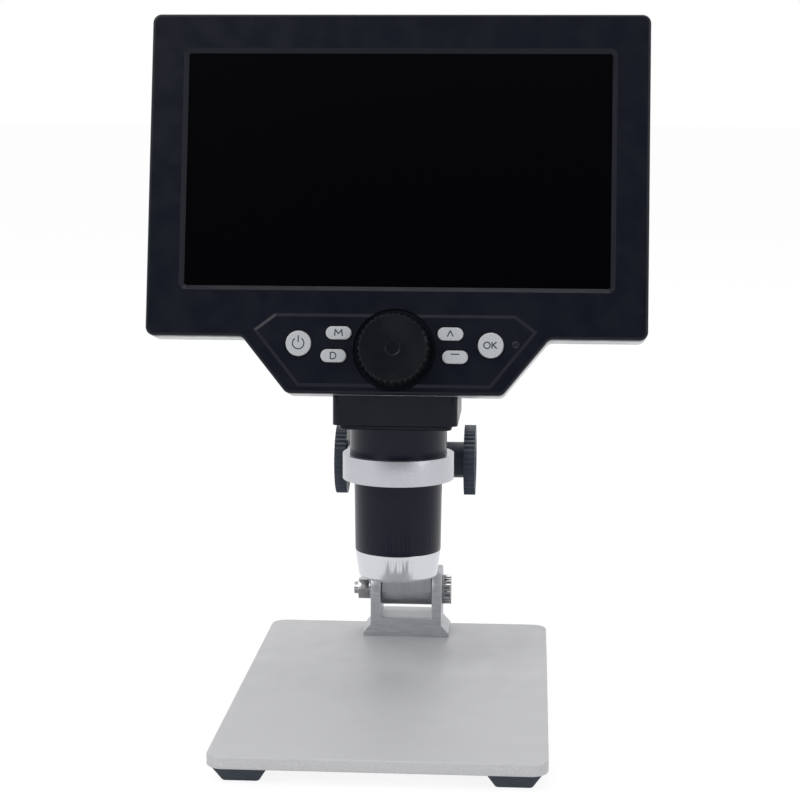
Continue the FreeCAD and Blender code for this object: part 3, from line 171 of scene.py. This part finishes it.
def finish(name, colour, rough, metal=0.0, gloss=0.5, grain=900.0, fleck=0.12, swing=0.06,
           relief=0.03, drawn=(1, 1, 1)):
    """A finish with fine flecks, broad clouds, an uneven polish and a small relief in mm.

    The grain is drawn out along an axis where that axis has a small number."""
    material = bpy.data.materials.new(name)
    material.use_nodes = True
    tree = material.node_tree
    shader = tree.nodes["Principled BSDF"]
    shader.inputs["Metallic"].default_value = metal
    shader.inputs["Specular IOR Level"].default_value = gloss
    place = tree.nodes.new("ShaderNodeTexCoord")
    stretched = tree.nodes.new("ShaderNodeMapping")
    stretched.inputs["Scale"].default_value = drawn
    tree.links.new(place.outputs["Object"], stretched.inputs["Vector"])
    grains = []
    for scale, detail in ((grain, 4), (grain / 30, 3)):
        noise = tree.nodes.new("ShaderNodeTexNoise")
        noise.inputs["Scale"].default_value = scale
        noise.inputs["Detail"].default_value = detail
        tree.links.new(stretched.outputs[0], noise.inputs["Vector"])
        grains.append(noise.outputs["Fac"])
    dark = tuple(c * (1 - fleck) for c in colour[:3]) + (1,)
    light = tuple(min(1, c * (1 + fleck)) for c in colour[:3]) + (1,)
    fine = mixed(tree, ranged(tree, grains[0], 0.3, 0.7, 0, 1), dark, light)
    tinted = mixed(tree, ranged(tree, grains[1], 0.35, 0.65, 0, 0.5), fine, colour)
    tree.links.new(tinted, shader.inputs["Base Color"])
    polish = ranged(tree, grains[1], 0.3, 0.7, rough - swing, rough + swing)
    tree.links.new(polish, shader.inputs["Roughness"])
    bump = tree.nodes.new("ShaderNodeBump")
    bump.inputs["Distance"].default_value = relief * mm
    tree.links.new(grains[0], bump.inputs["Height"])
    tree.links.new(bump.outputs[0], shader.inputs["Normal"])
    return material


def rounded(corners, radii, steps=8):
    """A closed outline whose corners are rounded, each with its own radius."""
    points = []
    for i, corner in enumerate(corners):
        here = Vector(corner)
        back = (Vector(corners[i - 1]) - here).normalized()
        on = (Vector(corners[(i + 1) % len(corners)]) - here).normalized()
        half = back.angle(on) / 2
        middle = here + (back + on).normalized() * radii[i] / math.sin(half)
        first = here + back * radii[i] / math.tan(half) - middle
        last = here + on * radii[i] / math.tan(half) - middle
        sweep = first.angle(last)
        for k in range(steps + 1):
            t = k / steps
            share = (math.sin((1 - t) * sweep) * first + math.sin(t * sweep) * last) / math.sin(sweep)
            points.append(middle + share)
    return points


def slab(outline, low, high, place=Matrix()):
    """A flat outline given thickness between two heights of the place's own frame, in mm."""
    form = bmesh.new()
    base = [form.verts.new(place @ Vector((x, y, low)) * mm) for x, y in outline]
    top = [form.verts.new(place @ Vector((x, y, high)) * mm) for x, y in outline]
    form.faces.new(list(reversed(base)))
    form.faces.new(top)
    for i in range(len(base)):
        form.faces.new((base[i - 1], base[i], top[i], top[i - 1]))
    bmesh.ops.recalc_face_normals(form, faces=form.faces)
    return form


def smoothed(mesh, crisp):
    """Makes a mesh smooth on its curves and crisp where it turns by more than an angle."""
    mesh.polygons.foreach_set("use_smooth", [True] * len(mesh.polygons))
    mesh.set_sharp_from_angle(angle=math.radians(crisp))


def made(name, form, material, crisp=32):
    """A finished form as an object."""
    mesh = bpy.data.meshes.new(name)
    form.to_mesh(mesh)
    form.free()
    mesh.materials.append(material)
    smoothed(mesh, crisp)
    piece = bpy.data.objects.new(name, mesh)
    bpy.context.scene.collection.objects.link(piece)
    return piece


def settled(piece, crisp=32):
    """Makes what the modifiers show the piece's own mesh."""
    graph = bpy.context.evaluated_depsgraph_get()
    mesh = bpy.data.meshes.new_from_object(piece.evaluated_get(graph))
    piece.modifiers.clear()
    piece.data = mesh
    smoothed(mesh, crisp)
    return piece


def eased(piece, width, segments=3, sharpest=30):
    """Breaks the piece's sharp edges by a width in mm."""
    bevel = piece.modifiers.new("eased", "BEVEL")
    bevel.width = width * mm
    bevel.segments = segments
    bevel.limit_method = "ANGLE"
    bevel.angle_limit = math.radians(sharpest)
    bevel.use_clamp_overlap = True
    return settled(piece)


def oblong(x, y):
    """The corners of a rectangle between two ends along each axis."""
    return [(x[0], y[0]), (x[1], y[0]), (x[1], y[1]), (x[0], y[1])]


plate_x, plate_y = 57.5, 91.0
plate_z = (5.5, 10.0)
plate_corner, plate_edge = 6, 0.7
plate_lacquer = finish("plate_lacquer", ink(192, 192, 194), 0.42, gloss=0.35, grain=2600,
                       fleck=0.1, relief=0.02)
plate_outline = rounded(oblong((-plate_x, plate_x), (-plate_y, plate_y)), [plate_corner] * 4)
plate = eased(made("plate", slab(plate_outline, *plate_z), plate_lacquer), plate_edge)
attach(plate, "base")
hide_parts("base_plate")


# Feet: four moulded rubber blocks under the corners, wide at the plate and narrow at the
# table. One block is drawn and set out at the four corners.

def node_tree(name, sizes):
    """An empty tree of geometry nodes with a mesh in, a mesh out and named sizes."""
    tree = bpy.data.node_groups.new(name, "GeometryNodeTree")
    tree.interface.new_socket("Geometry", in_out="INPUT", socket_type="NodeSocketGeometry")
    for size, kind in sizes:
        tree.interface.new_socket(size, in_out="INPUT", socket_type=kind)
    tree.interface.new_socket("Geometry", in_out="OUTPUT", socket_type="NodeSocketGeometry")
    return tree


def joined(tree, kind, **sockets):
    """A node in a tree, with each named socket linked to another one or set."""
    node = tree.nodes.new(kind)
    for name, value in sockets.items():
        socket = node.inputs[name.replace("_", " ")]
        if isinstance(value, bpy.types.NodeSocket):
            tree.links.new(value, socket)
        else:
            socket.default_value = value
    return node


def spread(piece, tree, sizes):
    """Runs a tree on a piece with these sizes and keeps what comes out as a plain mesh."""
    step = piece.modifiers.new(tree.name, "NODES")
    step.node_group = tree
    for item in tree.interface.items_tree:
        if item.in_out == "INPUT" and item.name in sizes:
            step[item.identifier] = sizes[item.name]
    return settled(piece)


def corners_tree(material):
    """Sets a block out at the four corners of a rectangle."""
    tree = node_tree("four_corners", (("Across", "NodeSocketFloat"), ("Along", "NodeSocketFloat")))
    given = tree.nodes.new("NodeGroupInput")
    grid = joined(tree, "GeometryNodeMeshGrid", Size_X=given.outputs["Across"],
                  Size_Y=given.outputs["Along"], Vertices_X=2, Vertices_Y=2)
    blocks = joined(tree, "GeometryNodeInstanceOnPoints", Points=grid.outputs["Mesh"],
                    Instance=given.outputs["Geometry"])
    real = joined(tree, "GeometryNodeRealizeInstances", Geometry=blocks.outputs[0])
    coated = joined(tree, "GeometryNodeSetMaterial", Geometry=real.outputs[0], Material=material)
    joined(tree, "NodeGroupOutput", Geometry=coated.outputs[0])
    return tree


foot_top, foot_bottom, foot_inset = 9.5, 6.25, 2.0
foot_corner, foot_edge = 1.2, 0.4
foot_rubber = finish("foot_rubber", ink(52, 58, 68), 0.62, gloss=0.3, grain=1500, fleck=0.2)
block = bmesh.new()
rings = []
for half, z in ((foot_bottom, 0), (foot_top, plate_z[0])):
    outline = rounded(oblong((-half, half), (-half, half)), [foot_corner] * 4, 4)
    rings.append([block.verts.new(Vector((x, y, z)) * mm) for x, y in outline])
for i in range(len(rings[0])):
    block.faces.new((rings[0][i - 1], rings[0][i], rings[1][i], rings[1][i - 1]))
block.faces.new(rings[0])
block.faces.new(rings[1])
bmesh.ops.recalc_face_normals(block, faces=block.faces)
feet = eased(made("feet", block, foot_rubber), foot_edge, 2)
feet = spread(feet, corners_tree(foot_rubber), {
    "Across": 2 * (plate_x - foot_inset - foot_top) * mm,
    "Along": 2 * (plate_y - foot_inset - foot_top) * mm})
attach(feet, "base")
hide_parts("rubber_feet")


# Hinge: an extruded aluminium fork on the plate, held by two screws from below, with a
# plated bolt, washer and nut through its ears.

riders = {node: body for body, nodes in frame["record"]["behaviour"]["bodies"].items() for node in nodes}
weld_gap, level_angle, edge_angle = 0.002, 0.5, 40


def dressed(node, material, ease=0.25, crisp=32, segments=2, broad=100):
    """A piece in its real form: the plain solid made one skin, with its sharp edges broken.

    Faces larger than the broad size, in square mm, stay dead flat."""
    form = bmesh.new()
    form.from_mesh(cad[node].data)
    bmesh.ops.remove_doubles(form, verts=form.verts, dist=weld_gap * mm)
    bmesh.ops.dissolve_limit(form, angle_limit=math.radians(level_angle), verts=form.verts,
                             edges=form.edges)
    bmesh.ops.recalc_face_normals(form, faces=form.faces)
    piece = made(node + "_skin", form, material, crisp)
    if ease:
        piece = eased(piece, ease, segments, edge_angle)
    for face in piece.data.polygons:
        if face.area > broad * mm * mm:
            face.use_smooth = False
    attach(piece, riders[node])
    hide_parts(node)
    return piece


def coated(nodes, material):
    """Gives the plain solids that lie inside the same finish."""
    for node in nodes:
        cad[node].data.materials.clear()
        cad[node].data.materials.append(material)


bracket_satin = finish("bracket_satin", ink(184, 185, 189), 0.4, metal=0.6, grain=1800,
                       fleck=0.12, swing=0.07, drawn=(0.12, 1, 1))
plated_steel = finish("plated_steel", ink(176, 176, 178), 0.22, metal=1.0, grain=1200,
                      fleck=0.15, swing=0.08)
dressed("hinge_bracket", bracket_satin, 0.35)
dressed("hinge_bolt", plated_steel, 0.15)
dressed("hinge_washer", plated_steel, 0.15)
dressed("hinge_nut", plated_steel, 0.12)
coated(["bracket_screws"], plated_steel)


# Column: a drawn aluminium bar, satin anodised along its length, with a milled steel rack
# let into its front and a moulded cap on top.

column_satin = finish("column_satin", ink(172, 173, 176), 0.34, metal=0.85, grain=2200,
                      fleck=0.1, swing=0.05, drawn=(1, 1, 0.05))
milled_steel = finish("milled_steel", ink(160, 160, 163), 0.28, metal=1.0, grain=2600,
                      fleck=0.14, drawn=(0.1, 1, 1))
dark_moulding = finish("dark_moulding", ink(50, 58, 71), 0.44, gloss=0.4, grain=1800,
                       fleck=0.2, swing=0.08, relief=0.04)
dressed("column_post", column_satin, 0.3)
dressed("column_rack", milled_steel, 0.08)
dressed("column_cap", dark_moulding, 0.5, segments=3)
dressed("cap_screw", plated_steel, 0.3)
coated(["rack_screws"], plated_steel)


# Carriage: a machined block, anodised black, that slides on the column. A brass strip and
# two screws at its back take up the play, and a bush carries the pinion's shaft.

anodised_black = finish("anodised_black", ink(46, 48, 54), 0.38, metal=0.4, grain=2400,
                        fleck=0.15, swing=0.06)
turned_brass = finish("turned_brass", ink(190, 160, 95), 0.3, metal=1.0, grain=1500, fleck=0.1)
dressed("carriage_block", anodised_black, 0.4)
dressed("pinion_shaft", milled_steel, 0.06)
coated(["carriage_gib", "pinion_bush"], turned_brass)
coated(["gib_screws"], plated_steel)


# Height knobs: two moulded discs with a fine ridged rim, each held on the shaft by a small
# screw in its hub.

for knob in ("knob_left", "knob_right"):
    dressed(knob, dark_moulding, 0.18)
coated(["knob_screws"], plated_steel)


# Ring clamp: turned and milled from one piece of aluminium, clear anodised, with bright
# edges. Four screws hold its arm on the carriage and a thumb screw locks the barrel.

ring_satin = finish("ring_satin", ink(188, 190, 196), 0.3, metal=0.85, grain=1700, fleck=0.06,
                    swing=0.05, drawn=(0.4, 0.4, 3))
dressed("ring_clamp", ring_satin, 0.45, segments=3)
dressed("arm_screws", plated_steel, 0.3)
dressed("clamp_screw", plated_steel, 0.4)


# Barrel: a turned aluminium sleeve that the ring holds, and a thinner tube pushed up inside
# it. Both are anodised a very dark blue.

barrel_gloss = finish("barrel_gloss", ink(12, 16, 32), 0.3, gloss=0.2, grain=2800, swing=0.05,
                      relief=0.01, drawn=(1, 1, 0.2))
dressed("barrel_sleeve", barrel_gloss, 0.25)
dressed("lower_tube", barrel_gloss, 0.25)


# Nose: a polished aluminium cone pressed into the tube. A clear window closes it, with a
# ring of white lights behind.

nose_polish = finish("nose_polish", ink(206, 207, 212), 0.2, metal=1.0, grain=1500, fleck=0.04,
                     swing=0.03, relief=0.003, drawn=(1, 1, 3))
clear_sheet = finish("clear_sheet", ink(214, 220, 224), 0.15, gloss=0.6, grain=900, fleck=0.03)
board_green = finish("board_green", ink(34, 92, 58), 0.4, grain=1400, fleck=0.25)
light_white = finish("light_white", ink(236, 234, 216), 0.3, grain=1400, fleck=0.05)
dressed("nose_cone", nose_polish, 0.2, 25)
dressed("light_window", clear_sheet, 0.15)
coated(["light_board", "sensor_board"], board_green)
coated(["light_leds"], light_white)


# Lens carrier: a black anodised cup that slides in the tube, with a toothed arm and two
# cemented lenses.

polished_lens = finish("polished_lens", ink(196, 206, 214), 0.05, gloss=0.8, grain=500, fleck=0.02)
coated(["lens_carrier"], anodised_black)
coated(["front_lens", "rear_lens"], polished_lens)


# Neck: a moulded block under the screen, in the same satin black as the bezel, closed from
# below by a cover with four sunk screws.

case_satin = finish("case_satin", ink(12, 16, 27), 0.32, gloss=0.2, grain=3200, fleck=0.2,
                    swing=0.05, relief=0.015)
dressed("neck_block", case_satin, 0.5, segments=3)
dressed("neck_cover", case_satin, 0.3)
dressed("neck_screws", plated_steel, 0.15)


# Screen housing: a satin black moulded bezel in front of a silver lacquered rear shell,
# held together by six screws from the back.

shell_lacquer = finish("shell_lacquer", ink(186, 189, 193), 0.34, gloss=0.5, grain=2600,
                       fleck=0.06, swing=0.05, relief=0.02)
dressed("front_bezel", case_satin, 0.12, crisp=14, segments=3, broad=8)
dressed("rear_shell", shell_lacquer, 0.3, broad=20)
dressed("case_screws", plated_steel, 0.3)


# Display: a dark switched-off panel in a pressed frame, with a clear sheet in front that
# shows as near black.

window_dark = finish("window_dark", ink(2, 2, 4), 0.06, gloss=0.12, grain=400, fleck=0.1,
                     swing=0.02, relief=0.002)
pressed_steel = finish("pressed_steel", ink(176, 178, 180), 0.3, metal=1.0, grain=1500, fleck=0.1)
dressed("display_glass", window_dark, 0)
coated(["lcd_panel"], window_dark)
coated(["lcd_frame"], pressed_steel)
dressed("usb_socket", pressed_steel, 0.05)
dressed("card_socket", pressed_steel, 0.05)


# Boards and battery: green glass fibre boards held on posts in the housing, with moulded
# black chips and key switches soldered on, and a flat cell in a blue sleeve.

chip_black = finish("chip_black", ink(36, 36, 38), 0.5, grain=1500, fleck=0.2)
cell_sleeve = finish("cell_sleeve", ink(58, 80, 130), 0.3, grain=900, fleck=0.08)
coated(["main_board", "port_board", "key_board"], board_green)
coated(["board_parts", "key_switches"], chip_black)
coated(["battery_pack"], cell_sleeve)


# Keys: six silver grey moulded keys that stand out through the bezel, with plain marks
# printed in dark ink, and a small dark light pipe beside them.

key_grey = finish("key_grey", ink(178, 181, 184), 0.34, gloss=0.5, grain=1800, fleck=0.05,
                  swing=0.04, relief=0.02)
mark_ink = finish("mark_ink", ink(58, 62, 68), 0.6, gloss=0.2, grain=1800, fleck=0.1)
pipe_grey = finish("pipe_grey", ink(26, 29, 36), 0.2, gloss=0.5, grain=1200, fleck=0.05)
lean = math.radians(12)
face_front, face_low = -10, 121.2
face_at = Matrix(((1, 0, 0, 0), (0, math.sin(lean), -math.cos(lean), face_front * mm),
                  (0, math.cos(lean), math.sin(lean), face_low * mm), (0, 0, 0, 1)))
key_front, ink_high, stroke = 1.6, 0.04, 0.42


def arc(middle, radius, start, end, steps=16):
    """Points along part of a circle, by its angles in degrees."""
    angles = [math.radians(start + (end - start) * i / steps) for i in range(steps + 1)]
    return [(middle[0] + radius * math.cos(a), middle[1] + radius * math.sin(a)) for a in angles]


def marked(node, middle, lines):
    """A key's printed mark, as thin strips that follow its lines."""
    form = bmesh.new()
    for line in lines:
        points = [Vector(p) + Vector(middle) for p in line]
        pairs = []
        for i, point in enumerate(points):
            run = (points[min(i + 1, len(points) - 1)] - points[max(i - 1, 0)]).normalized()
            aside = Vector((-run.y, run.x)) * stroke / 2
            pairs.append([form.verts.new(face_at @ (Vector((*(point + s * aside), high)) * mm))
                          for s in (-1, 1) for high in (key_front - ink_high, key_front + ink_high)])
        for a, b in zip(pairs, pairs[1:]):
            for i, j in ((0, 1), (1, 3), (3, 2), (2, 0)):
                form.faces.new((a[i], a[j], b[j], b[i]))
        for end in (pairs[0], pairs[-1]):
            form.faces.new((end[0], end[1], end[3], end[2]))
    bmesh.ops.recalc_face_normals(form, faces=form.faces)
    mark = made(node + "_mark", form, mark_ink)
    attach(mark, riders[node])


ring_of_o = arc((-1.35, 0), 1.15, 0, 360, 24)
marked("button_power", (-35.1, 18.2), [arc((0, 0), 2.1, 125, 415, 28), [(0, 0.4), (0, 2.9)]])
marked("button_ok", (35.1, 18.2), [ring_of_o, [(0.5, -1.2), (0.5, 1.2)], [(2.1, 1.2), (0.6, 0)],
                                   [(0.9, 0.2), (2.2, -1.2)]])
marked("button_menu", (-20.4, 22.2), [[(-1.4, -1.2), (-1.2, 1.2)], [(-1.2, 1.2), (0, -0.4)],
                                      [(0, -0.4), (1.2, 1.2)], [(1.2, 1.2), (1.4, -1.2)]])
marked("button_delete", (-22.2, 13.8), [[(-1, -1.2), (-1, 1.2)], arc((-0.2, 0), 1.2, 90, -90),
                                        [(-1, 1.2), (-0.2, 1.2)], [(-1, -1.2), (-0.2, -1.2)]])
marked("button_up", (20.4, 22.2), [[(-1.1, -1), (0, 1.2)], [(0, 1.2), (1.1, -1)]])
marked("button_down", (22.2, 13.8), [[(-1.5, 1), (1.5, 1)]])
for key in ("button_power", "button_ok", "button_menu", "button_delete", "button_up", "button_down"):
    dressed(key, key_grey, 0.12)
dressed("indicator_light", pipe_grey, 0.1)


# Focus wheel: a moulded knob with ridged sides that narrows towards the viewer. It is
# pressed on a steel shaft that turns in two brass bushes.

wheel_satin = finish("wheel_satin", ink(12, 14, 20), 0.36, gloss=0.2, grain=2600, fleck=0.2,
                     swing=0.06, relief=0.02)
dressed("focus_wheel", wheel_satin, 0.22, broad=8)
coated(["focus_bushes"], turned_brass)
coated(["focus_shaft"], milled_steel)
